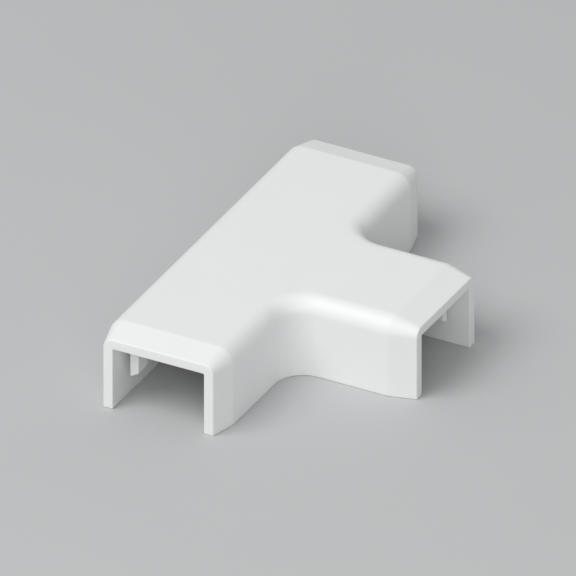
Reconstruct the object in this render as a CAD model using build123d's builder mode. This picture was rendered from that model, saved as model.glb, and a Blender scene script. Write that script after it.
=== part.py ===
"""Trunking tee fitting: a one-piece moulded cover for a tee joint in small surface trunking.

The cover is a channel that is open underneath. Its run lies along Y and its branch leaves along +X.
The origin is where the two centre lines cross, on the wall that the rim sits on, with +Z off the wall.
Each of the three mouths draws in towards its end, and short tabs hang from the roof inside the mouths.
All sizes are millimetres.
"""

import os
from math import radians, tan

from build123d import *

# The trunking that slides into the mouths, and the room that it has there
trunking_width = 15.0
trunking_height = 10.0
side_clearance = 0.15
top_clearance = 0.35

# The moulding
mouth_wall = 1.58
run_length = 65.4
branch_reach = 31.15
plan_corner_radius = 4.75

# The taper at each mouth
taper_length = 4.3
taper_depth = 1.13
mouth_edge_radius = 1.5

# The tabs inside the mouths
tab_setback = 3.1
tab_length = 3.0
tab_thickness = 1.45
tab_wall_gap = 1.3
tab_drop = 6.0
tab_tip_angle = 30.0

# Sizes that follow from those above
cavity_width = trunking_width + 2 * side_clearance
cavity_height = trunking_height + top_clearance
body_wall = mouth_wall + taper_depth
body_width = cavity_width + 2 * body_wall
body_height = cavity_height + body_wall
body_edge_radius = mouth_edge_radius + taper_depth
cavity_corner_radius = plan_corner_radius + body_wall


def tee_plan(width: float, corner_radius: float) -> Sketch:
    """Plan of the tee for one channel width, with its two inner corners rounded."""
    with BuildSketch() as plan:
        Rectangle(width, run_length)
        with Locations((branch_reach / 2, 0)):
            Rectangle(branch_reach, width)
        run_side = plan.vertices().filter_by_position(Axis.X, width / 2, width / 2)
        fillet(run_side.sort_by(Axis.Y)[1:-1], corner_radius)
    return plan.sketch


with BuildPart() as tee_cover:
    # Outer body
    add(tee_plan(body_width, plan_corner_radius))
    extrude(amount=body_height)

    # Rounded edges along the roof, but not across the mouths
    roof_edges = tee_cover.faces().sort_by(Axis.Z)[-1].edges()
    mouth_tops = ShapeList(
        [
            roof_edges.sort_by(Axis.Y)[0],
            roof_edges.sort_by(Axis.Y)[-1],
            roof_edges.sort_by(Axis.X)[-1],
        ]
    )
    fillet(roof_edges - mouth_tops, body_edge_radius)

    # Tapered mouths: each end face draws in on top and at both sides, and stays square at the rim
    for axis, end in ((Axis.Y, 0), (Axis.Y, -1), (Axis.X, -1)):
        mouth = tee_cover.faces().sort_by(axis)[end]
        outer_edges = mouth.edges().sort_by(Axis.Z)[1:]
        chamfer(outer_edges, length=taper_depth, length2=taper_length, reference=mouth)

    # Channel for the trunking, open underneath and at the mouths, with an even wall at the corners
    add(tee_plan(cavity_width, cavity_corner_radius))
    extrude(amount=cavity_height, mode=Mode.SUBTRACT)

    # Tabs by the run's back wall near each end, and by both walls of the branch near its mouth.
    # Each plane lies across its arm at the tab's middle, with its x pointing away from the wall.
    wall = cavity_width / 2
    tab_middle = tab_setback + tab_length / 2
    run_tab_y = run_length / 2 - tab_middle
    branch_tab_x = branch_reach - tab_middle
    tab_planes = [
        Plane((-wall, -run_tab_y, 0), x_dir=(1, 0, 0), z_dir=(0, -1, 0)),
        Plane((-wall, run_tab_y, 0), x_dir=(1, 0, 0), z_dir=(0, -1, 0)),
        Plane((branch_tab_x, -wall, 0), x_dir=(0, 1, 0), z_dir=(1, 0, 0)),
        Plane((branch_tab_x, wall, 0), x_dir=(0, -1, 0), z_dir=(-1, 0, 0)),
    ]
    tab_root = cavity_height + mouth_wall / 2
    tab_toe = cavity_height - tab_drop
    tab_heel = tab_toe + tab_thickness * tan(radians(tab_tip_angle))
    with BuildSketch(*tab_planes):
        with BuildLine():
            Polyline(
                (tab_wall_gap, tab_root),
                (tab_wall_gap, tab_toe),
                (tab_wall_gap + tab_thickness, tab_heel),
                (tab_wall_gap + tab_thickness, tab_root),
                close=True,
            )
        make_face()
    extrude(amount=tab_length / 2, both=True)

tee_cover.part.label = "tee_cover"

os.makedirs("parts", exist_ok=True)
export_step(tee_cover.part, "parts/tee_cover.step")
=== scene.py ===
"""A white moulded tee cover for small trunking, dressed and lit for its photograph's camera.

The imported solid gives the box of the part. The visible skin repeats the solid's form as one
closed surface, with the small edge rounds of a real moulding, and carries a satin white plastic.
Lengths are metres in the part's own frame: the run lies along Y, the branch leaves along +X,
and +Z is off the wall.
"""

import logging
from dataclasses import dataclass
from enum import Enum

import bmesh
import bpy
import numpy as np
from mathutils import Matrix, Vector


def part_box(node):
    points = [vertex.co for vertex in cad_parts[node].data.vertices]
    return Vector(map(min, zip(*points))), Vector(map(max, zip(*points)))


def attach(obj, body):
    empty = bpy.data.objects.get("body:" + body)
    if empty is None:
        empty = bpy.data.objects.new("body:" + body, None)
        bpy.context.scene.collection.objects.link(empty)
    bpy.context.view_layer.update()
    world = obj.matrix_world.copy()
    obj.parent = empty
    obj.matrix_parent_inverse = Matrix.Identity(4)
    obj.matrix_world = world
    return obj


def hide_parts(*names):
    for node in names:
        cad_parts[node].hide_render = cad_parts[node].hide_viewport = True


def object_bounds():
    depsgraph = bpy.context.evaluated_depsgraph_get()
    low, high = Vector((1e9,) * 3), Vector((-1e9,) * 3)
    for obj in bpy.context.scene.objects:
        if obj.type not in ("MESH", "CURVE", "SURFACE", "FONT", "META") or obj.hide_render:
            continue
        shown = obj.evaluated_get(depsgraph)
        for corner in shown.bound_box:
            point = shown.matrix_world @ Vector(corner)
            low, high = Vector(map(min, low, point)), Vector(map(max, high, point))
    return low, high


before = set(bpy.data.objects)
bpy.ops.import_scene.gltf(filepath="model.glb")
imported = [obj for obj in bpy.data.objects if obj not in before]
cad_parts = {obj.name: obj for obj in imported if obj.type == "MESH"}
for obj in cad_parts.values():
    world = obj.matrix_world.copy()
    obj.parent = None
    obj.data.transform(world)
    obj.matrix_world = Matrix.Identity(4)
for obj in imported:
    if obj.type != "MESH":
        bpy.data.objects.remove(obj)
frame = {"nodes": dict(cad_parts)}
cad_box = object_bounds()

log = logging.getLogger("tee_cover")

MM = 0.001
LINE_DECIMALS = 8
GRAIN_DETAIL = 3.0
CLOUD_DETAIL = 2.0
COVER_NODE = "tee_cover"

# Points of a section: their distances from the channel's centre line, and their heights
SectionPoints = tuple[np.ndarray, np.ndarray]


class Wall(Enum):
    """The tee's three walls, each from mouth to mouth. The value is the wall's side of the branch."""

    NEAR = -1
    BACK = 0
    FAR = 1


@dataclass(frozen=True)
class WallPath:
    """Stations along one wall, with what its section needs at each of them.

    Attributes:
        centre: Points of the channel's centre line, (n, 2).
        outward: Unit vectors from the centre line to the wall, (n, 2).
        to_mouth: Distance to the nearer mouth, (n,).
        past_centre: How far the roof goes on past the centre line to meet its neighbours, (n,).
        tabbed: True where this arm has a tab by this wall, (n,).
    """

    centre: np.ndarray
    outward: np.ndarray
    to_mouth: np.ndarray
    past_centre: np.ndarray
    tabbed: np.ndarray


@dataclass(frozen=True)
class RoofTab:
    """A tab that hangs from the roof inside a mouth, with a gap between it and the wall.

    Attributes:
        setback: From the mouth to the tab.
        length: Along the arm.
        thickness: Across the arm.
        wall_gap: From the inner face of the wall to the tab.
        drop: From the roof to the tip's lowest edge, which is on the wall's side.
        tip_angle: Slant of the tip, which rises away from the wall.
        root_round: Radius of the hollow round where a side leaves the roof.
        tip_round: Radius of the rounds at the tip's edges.
        draft: How far a side leans in over its height.
        round_lines: Grid lines across each round.
    """

    setback: float = 3.1 * MM
    length: float = 3.0 * MM
    thickness: float = 1.45 * MM
    wall_gap: float = 1.3 * MM
    drop: float = 6.0 * MM
    tip_angle: float = np.radians(30.0)
    root_round: float = 0.25 * MM
    tip_round: float = 0.18 * MM
    draft: float = 0.05 * MM
    round_lines: int = 5

    def side_lines(self) -> np.ndarray:
        """Grid lines across one side of the tab, as distances inwards from that side.

        Returns:
            Ascending distances: over the root's hollow round, the drafted side and the tip's round.
        """
        turn = np.linspace(0.0, np.pi / 2, self.round_lines)
        root = self.root_round * (np.sin(turn) - 1.0)
        tip = self.draft + self.tip_round * (1.0 - np.cos(turn))
        return np.concatenate([root, tip])

    def side_limit(self, inside: np.ndarray) -> np.ndarray:
        """The most that the tab may hang down near one of its sides.

        A quarter circle leads from the roof into the side, and the side then drops steeply by its draft.

        Args:
            inside: Distances inwards from the side, negative outside the tab.

        Returns:
            Depths below the roof.
        """
        hollow = np.clip(inside + self.root_round, 0.0, self.root_round)
        root = self.root_round - np.sqrt(self.root_round**2 - hollow**2)
        return root + np.clip(inside / self.draft, 0.0, 1.0) * self.drop

    def tip_cut(self, inside: np.ndarray) -> np.ndarray:
        """How much the round at the tip takes off near one of the sides: a quarter circle.

        Args:
            inside: Distances inwards from the side.

        Returns:
            Heights above the square tip.
        """
        short = np.clip(self.tip_round + self.draft - inside, 0.0, self.tip_round)
        return self.tip_round - np.sqrt(self.tip_round**2 - short**2)

    def depth(self, to_mouth: np.ndarray, from_wall: np.ndarray) -> np.ndarray:
        """How far the tab hangs below the roof, at any distances from its mouth and from its wall.

        It is the least of what the four sides and the slanted tip allow, and the tip's edges are
        rounded off.

        Args:
            to_mouth: Distances from the mouth.
            from_wall: Distances from the inner face of the wall, in an array that fits to_mouth.

        Returns:
            Depths below the roof, 0 beside the tab.
        """
        along = to_mouth - self.setback
        across = from_wall - self.wall_gap
        ends = np.minimum(along, self.length - along)
        sides = np.minimum(across, self.thickness - across)
        tip = self.drop - np.clip(across, 0.0, self.thickness) * np.tan(self.tip_angle)
        tip = tip - np.maximum(self.tip_cut(ends), self.tip_cut(sides))
        return np.minimum(np.minimum(self.side_limit(ends), self.side_limit(sides)), tip)


def merged(lines: np.ndarray) -> np.ndarray:
    """Grid lines in ascending order, with those that all but coincide made one."""
    return np.unique(np.round(lines, LINE_DECIMALS))


def straight(start: SectionPoints, stop: SectionPoints, steps: int) -> SectionPoints:
    """Points of a straight stretch of a section at every station, without its first.

    Args:
        start: Where it starts, one point for each station.
        stop: Where it stops, one point for each station.
        steps: Number of equal steps.

    Returns:
        Distances and heights, each (stations, steps).
    """
    share = np.linspace(0.0, 1.0, steps + 1)[1:]
    return tuple(first[:, None] + (last - first)[:, None] * share for first, last in zip(start, stop))


def rounded(
    middle: SectionPoints, radius: np.ndarray, turn: tuple[float, float], steps: int
) -> SectionPoints:
    """Points of a round stretch of a section at every station, without its first.

    Args:
        middle: Centre of its circle, one point for each station.
        radius: Its radius, one for each station.
        turn: Angles in degrees where it starts and stops.
        steps: Number of equal steps.

    Returns:
        Distances and heights, each (stations, steps).
    """
    angle = np.radians(np.linspace(*turn, steps + 1)[1:])
    return (
        middle[0][:, None] + radius[:, None] * np.cos(angle),
        middle[1][:, None] + radius[:, None] * np.sin(angle),
    )


@dataclass(frozen=True)
class TeeCover:
    """The moulding: a channel open underneath, carried along the tee's three walls.

    The first four sizes come from the solid's box, and the rest are the moulding's own.

    Attributes:
        run_half: Half the length of the run.
        branch_reach: From the run's centre line to the branch's mouth.
        body_half: Half the width of the body.
        body_height: From the rim to the top of the roof.
        mouth_wall: Thickness of the wall at a mouth.
        taper_depth: How far the outside draws in at a mouth.
        taper_length: Length over which it draws in.
        mouth_edge_radius: Radius of the top edges at a mouth.
        plan_corner_radius: Radius of the outside where the run turns into the branch.
        edge_break: Radius of the small rounds on the rim and on the mouths' edges.
        rim_round_at_mouth: Radius that the rim's small rounds run down to at a mouth.
        crease_round: Half the length of the round where a taper starts.
        hollow_round: Radius inside, between the walls and the roof.
        line_spacing: Longest step between stations along an arm.
        round_steps: Steps over the round of a top edge, and over the hollow corner below it.
        small_steps: Steps over a small round.
        wall_steps: Steps over the height of a wall.
        rim_steps: Steps over the width of the rim.
        roof_steps: Steps under the roof from the centre line to the tab.
        corner_steps: Steps round a plan corner, an even number.
        taper_lines: Stations along a taper.
        crease_lines: Stations over the round where a taper starts.
        tab: The tabs inside the mouths.
    """

    run_half: float
    branch_reach: float
    body_half: float
    body_height: float
    mouth_wall: float = 1.58 * MM
    taper_depth: float = 1.13 * MM
    taper_length: float = 4.3 * MM
    mouth_edge_radius: float = 1.5 * MM
    plan_corner_radius: float = 4.75 * MM
    edge_break: float = 0.15 * MM
    rim_round_at_mouth: float = 0.03 * MM
    crease_round: float = 0.2 * MM
    hollow_round: float = 0.2 * MM
    line_spacing: float = 1.4 * MM
    round_steps: int = 14
    small_steps: int = 7
    wall_steps: int = 8
    rim_steps: int = 3
    roof_steps: int = 3
    corner_steps: int = 36
    taper_lines: int = 5
    crease_lines: int = 7
    tab: RoofTab = RoofTab()

    @classmethod
    def from_box(cls, node: str) -> "TeeCover":
        """Takes the outer sizes from a solid's box.

        Args:
            node: Name of the solid.

        Returns:
            The moulding that fills that box.
        """
        low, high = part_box(node)
        return cls(run_half=high.y, branch_reach=high.x, body_half=-low.x, body_height=high.z)

    @property
    def body_wall(self) -> float:
        """Thickness of the walls and the roof away from the mouths."""
        return self.mouth_wall + self.taper_depth

    @property
    def inner_half(self) -> float:
        """Half the width of the channel inside."""
        return self.body_half - self.body_wall

    @property
    def corner_centre(self) -> float:
        """How far the centre of a plan corner's round lies from each centre line."""
        return self.body_half + self.plan_corner_radius

    def mouth_lines(self) -> np.ndarray:
        """Distances from a mouth at which every arm has a station.

        Returns:
            Ascending distances: over the mouth's edge round, the taper, its crease and the tab's ends.
        """
        turn = np.linspace(0.0, np.pi / 2, self.small_steps + 1)
        edge = self.edge_break * (1.0 - np.cos(turn))
        taper = np.linspace(self.edge_break, self.taper_length - self.crease_round, self.taper_lines)
        crease = self.taper_length + self.crease_round * np.linspace(-1.0, 1.0, self.crease_lines)
        sides = self.tab.side_lines()
        front = self.tab.setback + sides
        back = self.tab.setback + self.tab.length - sides
        return merged(np.concatenate([edge, taper, crease, front, back]))

    def arm_lines(self, length: float) -> np.ndarray:
        """Distances from the mouth along one straight arm.

        Args:
            length: Length from the mouth to the start of the plan corner.

        Returns:
            Ascending distances from 0 to length.
        """
        mouth = self.mouth_lines()
        count = int(np.ceil((length - mouth[-1]) / self.line_spacing))
        return np.concatenate([mouth, np.linspace(mouth[-1], length, count + 1)[1:]])

    def corner_angles(self) -> np.ndarray:
        """Angles of the stations round a plan corner, between its two straight arms."""
        return np.radians(np.linspace(0.0, 90.0, self.corner_steps + 1)[1:-1])

    def back_path(self) -> WallPath:
        """Stations of the back wall: a straight line from the near mouth to the far mouth.

        Beside the plan corners the stations lie where the corners' rays meet the run's centre line.

        Returns:
            The path, with outward along -X.
        """
        corner = self.corner_centre
        lines = self.arm_lines(self.run_half - corner)
        angles = self.corner_angles()
        first_half = angles[: len(angles) // 2 + 1]
        half = np.concatenate([lines - self.run_half, corner * np.tan(first_half) - corner])
        y = np.concatenate([half, -half[-2::-1]])
        count = len(y)
        return WallPath(
            centre=np.stack([np.zeros(count), y], axis=1),
            outward=np.tile([-1.0, 0.0], (count, 1)),
            to_mouth=self.run_half - np.abs(y),
            past_centre=np.zeros(count),
            tabbed=np.ones(count, bool),
        )

    def corner_path(self, side: int) -> WallPath:
        """Stations of a wall that turns from the run into the branch round a plan corner.

        The centre line is straight, then an arc about the corner's centre, then straight again.
        Over the arc the roof goes on past the centre line, along the ray from the corner's centre,
        to the nearer of the two axes.

        Args:
            side: -1 for the near wall and 1 for the far wall.

        Returns:
            The path, from the run's mouth to the branch's mouth.
        """
        corner = self.corner_centre
        run = self.arm_lines(self.run_half - corner)
        branch = self.arm_lines(self.branch_reach - corner)[::-1]
        angle = self.corner_angles()
        on_run, on_branch = np.zeros_like(run), np.zeros_like(branch)
        x = np.concatenate([on_run, corner * (1.0 - np.cos(angle)), self.branch_reach - branch])
        y = np.concatenate([run - self.run_half, corner * (np.sin(angle) - 1.0), on_branch])
        out_x = np.concatenate([on_run + 1.0, np.cos(angle), on_branch])
        out_y = np.concatenate([on_run, -np.sin(angle), on_branch - 1.0])
        ray = corner / np.maximum(np.cos(angle), np.sin(angle)) - corner
        return WallPath(
            centre=np.stack([x, -side * y], axis=1),
            outward=np.stack([out_x, -side * out_y], axis=1),
            to_mouth=np.concatenate([run, np.full_like(angle, self.run_half), branch]),
            past_centre=np.concatenate([on_run, ray, on_branch]),
            tabbed=np.arange(len(x)) >= len(run) + len(angle),
        )

    def path(self, wall: Wall) -> WallPath:
        """Stations of one wall, from its first mouth to its last."""
        return self.back_path() if wall is Wall.BACK else self.corner_path(wall.value)

    def taper_at(self, to_mouth: np.ndarray) -> np.ndarray:
        """How far the outside draws in near a mouth: a straight ramp with a rounded crease.

        Args:
            to_mouth: Distances from the mouth.

        Returns:
            Offsets of the outside, 0 in the body and the taper's depth at the mouth.
        """
        left = self.taper_length - to_mouth
        bend = np.clip(left + self.crease_round, 0.0, 2.0 * self.crease_round)
        rise = bend**2 / (4.0 * self.crease_round) + np.maximum(left - self.crease_round, 0.0)
        return rise * self.taper_depth / self.taper_length

    def edge_inset(self, to_mouth: np.ndarray) -> np.ndarray:
        """How far a mouth's edges are rounded into the wall: a quarter circle over the last edge_break.

        Args:
            to_mouth: Distances from the mouth.

        Returns:
            Offsets into the wall, from both of its sides.
        """
        left = np.clip(self.edge_break - to_mouth, 0.0, self.edge_break)
        return self.edge_break - np.sqrt(self.edge_break**2 - left**2)

    def roof_lines(self) -> np.ndarray:
        """Lines along the roof: over the tab's two sides, and from the tab to the centre line.

        Returns:
            Descending distances from the centre line, from the tab's wall side inwards.
        """
        sides = self.tab.side_lines()
        wall_side = self.inner_half - self.tab.wall_gap
        lines = np.concatenate([wall_side - sides, wall_side - self.tab.thickness + sides])
        inner = np.linspace(0.0, lines.min(), self.roof_steps + 1)[1:-1]
        return merged(np.concatenate([lines, inner]))[::-1]

    def section(self, path: WallPath) -> SectionPoints:
        """The wall's section at every station, as one line from the roof's top round to its underside.

        The line goes out over the roof, round the top edge, down the wall, over the rim with its two
        small rounds, up inside, round the hollow corner and back under the roof, where the tabs hang.
        Its two halves have as many points, so that the outside's points pair with those inside.

        Args:
            path: The wall's stations.

        Returns:
            Distances from the centre line and heights, each (stations, points).
        """
        taper, inset = self.taper_at(path.to_mouth), self.edge_inset(path.to_mouth)
        outer, top = self.body_half - taper - inset, self.body_height - taper - inset
        edge_round = self.mouth_edge_radius + self.taper_depth - taper - inset
        inner, under = self.inner_half + inset, self.body_height - self.body_wall + inset
        hollow = self.hollow_round + inset
        small = self.edge_break - (1.0 - self.rim_round_at_mouth / self.edge_break) * inset
        rim = inset

        lines = np.tile(self.roof_lines(), (len(rim), 1))
        roof = np.hstack([lines, -path.past_centre[:, None]])
        hang = self.tab.depth(path.to_mouth[:, None], self.inner_half - roof)
        hang = np.where(path.tabbed[:, None], np.maximum(hang, 0.0), 0.0)
        stretches = (
            (roof[:, ::-1], np.broadcast_to(top[:, None], roof.shape)),
            ((outer - edge_round)[:, None], top[:, None]),
            rounded((outer - edge_round, top - edge_round), edge_round, (90.0, 0.0), self.round_steps),
            straight((outer, top - edge_round), (outer, rim + small), self.wall_steps),
            rounded((outer - small, rim + small), small, (0.0, -90.0), self.small_steps),
            straight((outer - small, rim), (inner + small, rim), self.rim_steps),
            rounded((inner + small, rim + small), small, (-90.0, -180.0), self.small_steps),
            straight((inner, rim + small), (inner, under - hollow), self.wall_steps),
            rounded((inner - hollow, under - hollow), hollow, (0.0, 90.0), self.round_steps),
            (roof, under[:, None] - hang),
        )
        across, height = (np.hstack(parts) for parts in zip(*stretches))
        return across, height

    def wall_surface(self, wall: Wall) -> np.ndarray:
        """One wall's section carried along its path, and closed at both mouths.

        A point is the centre line plus its distance times outward, at the section's height.
        At a mouth one more row draws each outer point and its inner partner together on the line
        halfway between them. That line stops half the wall's thickness above the rim, so that no
        face there is without area.

        Args:
            wall: Which wall.

        Returns:
            Points, (stations and the two closing rows, points of the section, 3).
        """
        path = self.path(wall)
        across, height = self.section(path)
        ends = [0, -1]
        halfway = (across[ends] + across[ends, ::-1]) / 2
        level = np.maximum((height[ends] + height[ends, ::-1]) / 2, self.mouth_wall / 2)
        across = np.vstack([halfway[:1], across, halfway[1:]])
        height = np.vstack([level[:1], height, level[1:]])
        rows = np.r_[0, np.arange(len(path.to_mouth)), -1]
        plan = path.centre[rows, None, :] + across[:, :, None] * path.outward[rows, None, :]
        return np.concatenate([plan, height[:, :, None]], axis=2)

    def build(self) -> bpy.types.Object:
        """Joins the three walls' surfaces into one closed skin.

        Returns:
            The skin, in place.
        """
        surfaces = [self.wall_surface(wall) for wall in Wall]
        return closed_object("tee_moulding", surfaces)

    def dress(self, piece: bpy.types.Object, node: str, grain: bpy.types.ShaderNodeTree) -> None:
        """Gives the skin its plastic, hangs it on the root body and hides the solid that it stands for.

        Args:
            piece: The skin.
            node: Name of the solid.
            grain: The shared node group for the grain.
        """
        piece.data.materials.append(WHITE_PLASTIC.material(grain))
        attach(piece, "root")
        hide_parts(node)


def closed_object(name: str, grids: list[np.ndarray]) -> bpy.types.Object:
    """Makes an object of grids of points that close into one skin.

    The grids' common edges are merged, and the faces then turn outwards.

    Args:
        name: Name of the piece.
        grids: Points, each (rows, columns, 3).

    Returns:
        The object, smooth, with normals that follow its large faces.
    """
    seam = 0.001 * MM
    faces, first = [], 0
    for grid in grids:
        rows, columns = grid.shape[:2]
        number = first + np.arange(rows * columns).reshape(rows, columns)
        corners = (number[:-1, :-1], number[1:, :-1], number[1:, 1:], number[:-1, 1:])
        faces.append(np.stack(corners, axis=-1).reshape(-1, 4))
        first += rows * columns
    points = np.concatenate([grid.reshape(-1, 3) for grid in grids])

    mesh = bpy.data.meshes.new(name)
    mesh.from_pydata(points.tolist(), [], np.concatenate(faces).tolist())
    work = bmesh.new()
    work.from_mesh(mesh)
    bmesh.ops.remove_doubles(work, verts=work.verts, dist=seam)
    bmesh.ops.recalc_face_normals(work, faces=work.faces)
    work.to_mesh(mesh)
    work.free()
    mesh.shade_smooth()

    piece = bpy.data.objects.new(name, mesh)
    bpy.context.scene.collection.objects.link(piece)
    normals = piece.modifiers.new("large_face_normals", "WEIGHTED_NORMAL")
    normals.mode = "FACE_AREA"
    edge_of_loop = np.empty(len(mesh.loops), np.int32)
    mesh.loops.foreach_get("edge_index", edge_of_loop)
    open_edges = np.count_nonzero(np.bincount(edge_of_loop) != 2)
    log.info("%s: %d faces, %d open edges", name, len(mesh.polygons), open_edges)
    return piece


def grain_group() -> bpy.types.ShaderNodeTree:
    """Builds the node group for the fine grain of a moulded or pressed surface.

    Returns:
        A group from a position to a fine grain's height and to a soft cloud, both from 0 to 1.
    """
    tree = bpy.data.node_groups.new("fine_grain", "ShaderNodeTree")
    sockets = (
        ("Position", "INPUT", "NodeSocketVector"),
        ("Grains per metre", "INPUT", "NodeSocketFloat"),
        ("Clouds per metre", "INPUT", "NodeSocketFloat"),
        ("Grain", "OUTPUT", "NodeSocketFloat"),
        ("Cloud", "OUTPUT", "NodeSocketFloat"),
    )
    for name, way, kind in sockets:
        tree.interface.new_socket(name, in_out=way, socket_type=kind)
    given, put_out = tree.nodes.new("NodeGroupInput"), tree.nodes.new("NodeGroupOutput")
    patterns = (
        ("Grains per metre", "Grain", GRAIN_DETAIL),
        ("Clouds per metre", "Cloud", CLOUD_DETAIL),
    )
    for scale, result, detail in patterns:
        noise = tree.nodes.new("ShaderNodeTexNoise")
        noise.inputs["Detail"].default_value = detail
        tree.links.new(given.outputs["Position"], noise.inputs["Vector"])
        tree.links.new(given.outputs[scale], noise.inputs["Scale"])
        tree.links.new(noise.outputs["Fac"], put_out.inputs[result])
    return tree


@dataclass(frozen=True)
class Finish:
    """A plain coloured surface with a fine grain.

    Attributes:
        name: Name of the material.
        dark: Colour at the cloud's lowest level.
        light: Colour at its highest level.
        rough_low: Roughness at the cloud's lowest level.
        rough_high: Roughness at its highest level.
        ior: Index of refraction.
        grains_per_metre: How fine the grain is.
        clouds_per_metre: How fine the cloud is.
        grain_height: Height of the grain.
        grain_strength: How much of that height the bump shows.
    """

    name: str
    dark: tuple[float, float, float]
    light: tuple[float, float, float]
    rough_low: float
    rough_high: float
    ior: float
    grains_per_metre: float
    clouds_per_metre: float
    grain_height: float
    grain_strength: float

    def material(self, grain: bpy.types.ShaderNodeTree) -> bpy.types.Material:
        """Builds the material: the cloud shifts colour and roughness, and the grain is its bump.

        Args:
            grain: The shared node group for the grain.

        Returns:
            The material, on Object coordinates.
        """
        made = bpy.data.materials.new(self.name)
        made.use_nodes = True
        nodes, links = made.node_tree.nodes, made.node_tree.links
        shader = nodes["Principled BSDF"]
        shader.inputs["IOR"].default_value = self.ior
        place = nodes.new("ShaderNodeTexCoord")
        pattern = nodes.new("ShaderNodeGroup")
        pattern.node_tree = grain
        pattern.inputs["Grains per metre"].default_value = self.grains_per_metre
        pattern.inputs["Clouds per metre"].default_value = self.clouds_per_metre
        links.new(place.outputs["Object"], pattern.inputs["Position"])

        colour = nodes.new("ShaderNodeMix")
        colour.data_type = "RGBA"
        colour.inputs["A"].default_value = (*self.dark, 1.0)
        colour.inputs["B"].default_value = (*self.light, 1.0)
        links.new(pattern.outputs["Cloud"], colour.inputs["Factor"])
        links.new(colour.outputs["Result"], shader.inputs["Base Color"])

        rough = nodes.new("ShaderNodeMapRange")
        rough.inputs["To Min"].default_value = self.rough_low
        rough.inputs["To Max"].default_value = self.rough_high
        links.new(pattern.outputs["Cloud"], rough.inputs["Value"])
        links.new(rough.outputs["Result"], shader.inputs["Roughness"])

        bump = nodes.new("ShaderNodeBump")
        bump.inputs["Strength"].default_value = self.grain_strength
        bump.inputs["Distance"].default_value = self.grain_height
        links.new(pattern.outputs["Grain"], bump.inputs["Height"])
        links.new(bump.outputs["Normal"], shader.inputs["Normal"])
        return made


WHITE_PLASTIC = Finish(
    name="satin_white_plastic",
    dark=(0.885, 0.888, 0.89),
    light=(0.91, 0.911, 0.91),
    rough_low=0.43,
    rough_high=0.52,
    ior=1.53,
    grains_per_metre=3600.0,
    clouds_per_metre=140.0,
    grain_height=0.02 * MM,
    grain_strength=0.35,
)

PALE_FLOOR = Finish(
    name="pale_floor_card",
    dark=(0.555, 0.558, 0.562),
    light=(0.57, 0.573, 0.577),
    rough_low=0.75,
    rough_high=0.85,
    ior=1.45,
    grains_per_metre=900.0,
    clouds_per_metre=25.0,
    grain_height=0.02 * MM,
    grain_strength=0.2,
)


@dataclass(frozen=True)
class StudioFloor:
    """The plain surface that the part stands on.

    Attributes:
        half_side: Half its side.
        below: How far it lies under the rim, so that the two don't coincide.
    """

    half_side: float = 3.0
    below: float = 0.02 * MM

    def build(self, grain: bpy.types.ShaderNodeTree) -> bpy.types.Object:
        """Makes one flat face just under the rim.

        Args:
            grain: The shared node group for the grain.

        Returns:
            The floor.
        """
        reach = self.half_side * np.array([[-1, -1], [1, -1], [1, 1], [-1, 1]])
        points = np.column_stack([reach, np.full(4, -self.below)])
        mesh = bpy.data.meshes.new("floor")
        mesh.from_pydata(points.tolist(), [], [[0, 1, 2, 3]])
        floor = bpy.data.objects.new("floor", mesh)
        bpy.context.scene.collection.objects.link(floor)
        mesh.materials.append(PALE_FLOOR.material(grain))
        return floor


def facing(azimuth: float, elevation: float) -> Matrix:
    """Axes of a camera or lamp that looks at the part from one side.

    Args:
        azimuth: Degrees round +Z from the side at -Y, towards +X.
        elevation: Degrees above the horizon.

    Returns:
        A rotation whose columns are right, up and back.
    """
    turn, tilt = np.radians([azimuth, elevation])
    right = Vector((np.cos(turn), np.sin(turn), 0.0))
    back = Vector((np.sin(turn) * np.cos(tilt), -np.cos(turn) * np.cos(tilt), np.sin(tilt)))
    return Matrix((right, back.cross(right), back)).transposed()


@dataclass(frozen=True)
class SoftBox:
    """A square studio lamp that points at the middle of the part.

    Attributes:
        name: Name of the lamp.
        azimuth: Degrees round +Z from the side at -Y, towards +X.
        elevation: Degrees above the horizon.
        side: Side of its square.
        power: Watts.
        distance: From the part to the lamp.
    """

    name: str
    azimuth: float
    elevation: float
    side: float
    power: float
    distance: float = 1.2

    def build(self, target: Vector) -> bpy.types.Object:
        """Makes the lamp.

        Args:
            target: The point that it faces.

        Returns:
            The lamp.
        """
        lamp = bpy.data.lights.new(self.name, "AREA")
        lamp.size = self.side
        lamp.energy = self.power
        made = bpy.data.objects.new(self.name, lamp)
        turn = facing(self.azimuth, self.elevation)
        place = target + turn.col[2] * self.distance
        made.matrix_world = Matrix.Translation(place) @ turn.to_4x4()
        bpy.context.scene.collection.objects.link(made)
        return made


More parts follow.
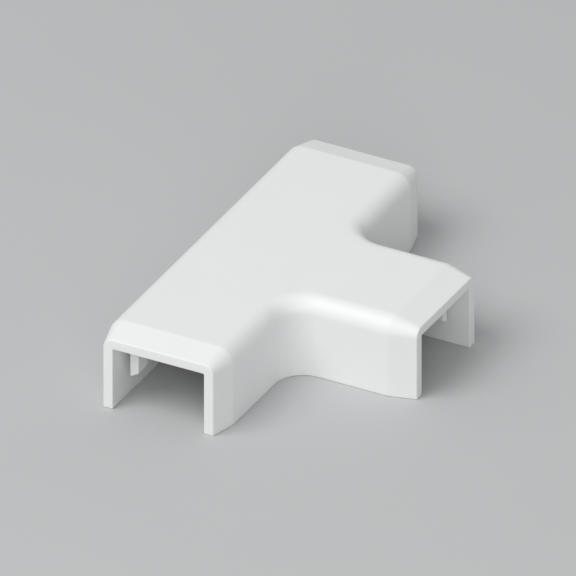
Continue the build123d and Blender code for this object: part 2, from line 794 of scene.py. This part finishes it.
@dataclass(frozen=True)
class StudioLight:
    """A key lamp from the front left, a fill lamp from the camera's side, and an even light from all round.

    Attributes:
        key: The lamp that shapes the part.
        fill: The lamp that reaches into the mouths.
        sky: Level at which the world lights the part.
        backdrop: Level of the world where it is seen or mirrored.
        sky_colour: Colour of the world's light.
    """

    key: SoftBox = SoftBox("key_softbox", azimuth=-30.0, elevation=55.0, side=0.8, power=7.8)
    fill: SoftBox = SoftBox("fill_softbox", azimuth=28.0, elevation=25.0, side=0.6, power=2.75)
    sky: float = 0.41
    backdrop: float = 0.52
    sky_colour: tuple[float, float, float] = (0.985, 0.993, 1.0)

    def build(self, target: Vector) -> None:
        """Makes the lamps and the world.

        Args:
            target: The point that the lamps face.
        """
        self.key.build(target)
        self.fill.build(target)
        world = bpy.data.worlds.new("soft_studio")
        world.use_nodes = True
        background = world.node_tree.nodes["Background"]
        background.inputs["Color"].default_value = (*self.sky_colour, 1.0)
        self.set_level(world.node_tree, background.inputs["Strength"])
        bpy.context.scene.world = world

    def set_level(self, tree: bpy.types.NodeTree, strength: bpy.types.NodeSocket) -> None:
        """Lets the kind of ray that reaches the world choose between its two levels.

        Args:
            tree: The world's nodes.
            strength: The socket that takes the level.
        """
        ray = tree.nodes.new("ShaderNodeLightPath")
        shown = ray.outputs["Is Camera Ray"]
        for kind in ("Is Glossy Ray", "Is Transmission Ray"):
            either = tree.nodes.new("ShaderNodeMath")
            either.operation = "MAXIMUM"
            tree.links.new(shown, either.inputs[0])
            tree.links.new(ray.outputs[kind], either.inputs[1])
            shown = either.outputs["Value"]
        level = tree.nodes.new("ShaderNodeMapRange")
        level.inputs["To Min"].default_value = self.sky
        level.inputs["To Max"].default_value = self.backdrop
        tree.links.new(shown, level.inputs["Value"])
        tree.links.new(level.outputs["Result"], strength)


@dataclass(frozen=True)
class PhotoCamera:
    """A camera with parallel projection, at the photograph's angle and framing.

    Attributes:
        azimuth: Degrees round +Z from the side at -Y, towards +X.
        elevation: Degrees above the horizon.
        photo_side_px: Side of the photograph, in pixels.
        pixel: Length on the part that one pixel shows.
        origin_px: The pixel that the part's origin falls on, from the top left corner.
        distance: From the part's origin to the camera.
    """

    azimuth: float = 27.74
    elevation: float = 31.0
    photo_side_px: int = 576
    pixel: float = 0.1487 * MM
    origin_px: tuple[float, float] = (260.47, 321.37)
    distance: float = 0.4

    def build(self) -> bpy.types.Object:
        """Makes the camera, so that the part's origin falls on origin_px.

        Returns:
            The camera, set as the scene's own.
        """
        lens = bpy.data.cameras.new("photo_camera")
        lens.type = "ORTHO"
        lens.ortho_scale = self.photo_side_px * self.pixel
        camera = bpy.data.objects.new("photo_camera", lens)
        turn = facing(self.azimuth, self.elevation)
        right, up, back = turn.col
        middle_px = self.photo_side_px / 2
        to_right = (middle_px - self.origin_px[0]) * self.pixel
        to_top = (self.origin_px[1] - middle_px) * self.pixel
        place = right * to_right + up * to_top + back * self.distance
        camera.matrix_world = Matrix.Translation(place) @ turn.to_4x4()
        bpy.context.scene.collection.objects.link(camera)
        bpy.context.scene.camera = camera
        return camera


def main() -> None:
    """Builds the part, its floor, its light and its camera."""
    logging.basicConfig(level=logging.INFO, format="%(name)s: %(message)s")
    log.info("the frame holds %s", ", ".join(frame["nodes"]))
    bpy.context.scene.view_settings.view_transform = "Standard"
    grain = grain_group()

    cover = TeeCover.from_box(COVER_NODE)
    skin = cover.build()
    cover.dress(skin, COVER_NODE, grain)
    log.info("%s stands for the solid %s", skin.name, COVER_NODE)

    floor = StudioFloor().build(grain)
    log.info("%s is stage", floor.name)
    low, high = cad_box
    light = StudioLight()
    light.build((low + high) / 2)
    log.info("%s and %s light the part", light.key.name, light.fill.name)
    camera = PhotoCamera().build()
    log.info("%s looks at the part", camera.name)


if __name__ == "__main__":
    main()
